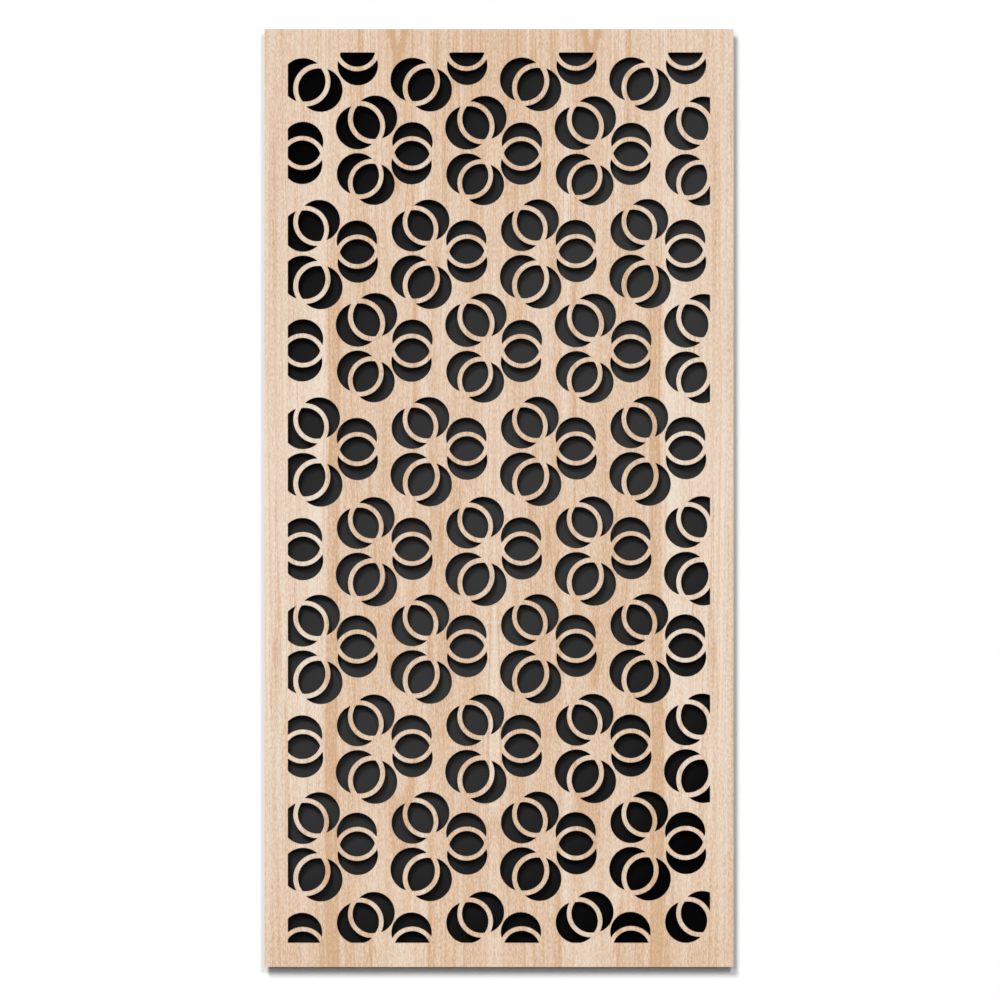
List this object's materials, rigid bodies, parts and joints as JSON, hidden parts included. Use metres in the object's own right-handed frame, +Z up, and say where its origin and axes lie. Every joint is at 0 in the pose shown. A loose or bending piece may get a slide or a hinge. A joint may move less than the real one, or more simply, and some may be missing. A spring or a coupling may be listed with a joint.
{
  "type": "laser-cut decorative panel",
  "caption": "Tall wall panel of maple-faced board, laser cut with paired round holes in threes, held off a black backing board and hung from keyhole plates.",
  "frame": {"origin": "middle of the panel's foot, halfway through its depth", "axes": "+X across the panel to the viewer's right, +Z up the panel, -Y out of the front towards the viewer, +Y towards the wall"},
  "size_m": [0.6, 0.021, 1.2],
  "materials": {
    "maple_veneer": "pale maple, clear matt lacquer",
    "cut_core": "plywood core, browned by the laser at every cut edge",
    "balance_veneer": "plain unlacquered maple",
    "black_frame": "softwood stained black, matt",
    "black_board": "black-faced fibreboard, satin",
    "dowel": "beech",
    "black_screw": "blackened steel",
    "zinc_plate": "bright zinc plate",
    "zinc_screw": "bright zinc plate",
    "rubber_foot": "dark grey rubber, matt"
  },
  "bodies": {
    "root": {"face_veneer": "maple_veneer", "face_core": "cut_core", "balance_veneer": "balance_veneer", "spacer_stile_left": "black_frame", "spacer_stile_right": "black_frame", "spacer_rail_top": "black_frame", "spacer_rail_bottom": "black_frame", "corner_dowels": "dowel", "backing_board": "black_board", "backing_screws": "black_screw", "hanger_left": "zinc_plate", "hanger_right": "zinc_plate", "hanger_screws": "zinc_screw", "wall_bumpers": "rubber_foot"}
  },
  "joints": []
}
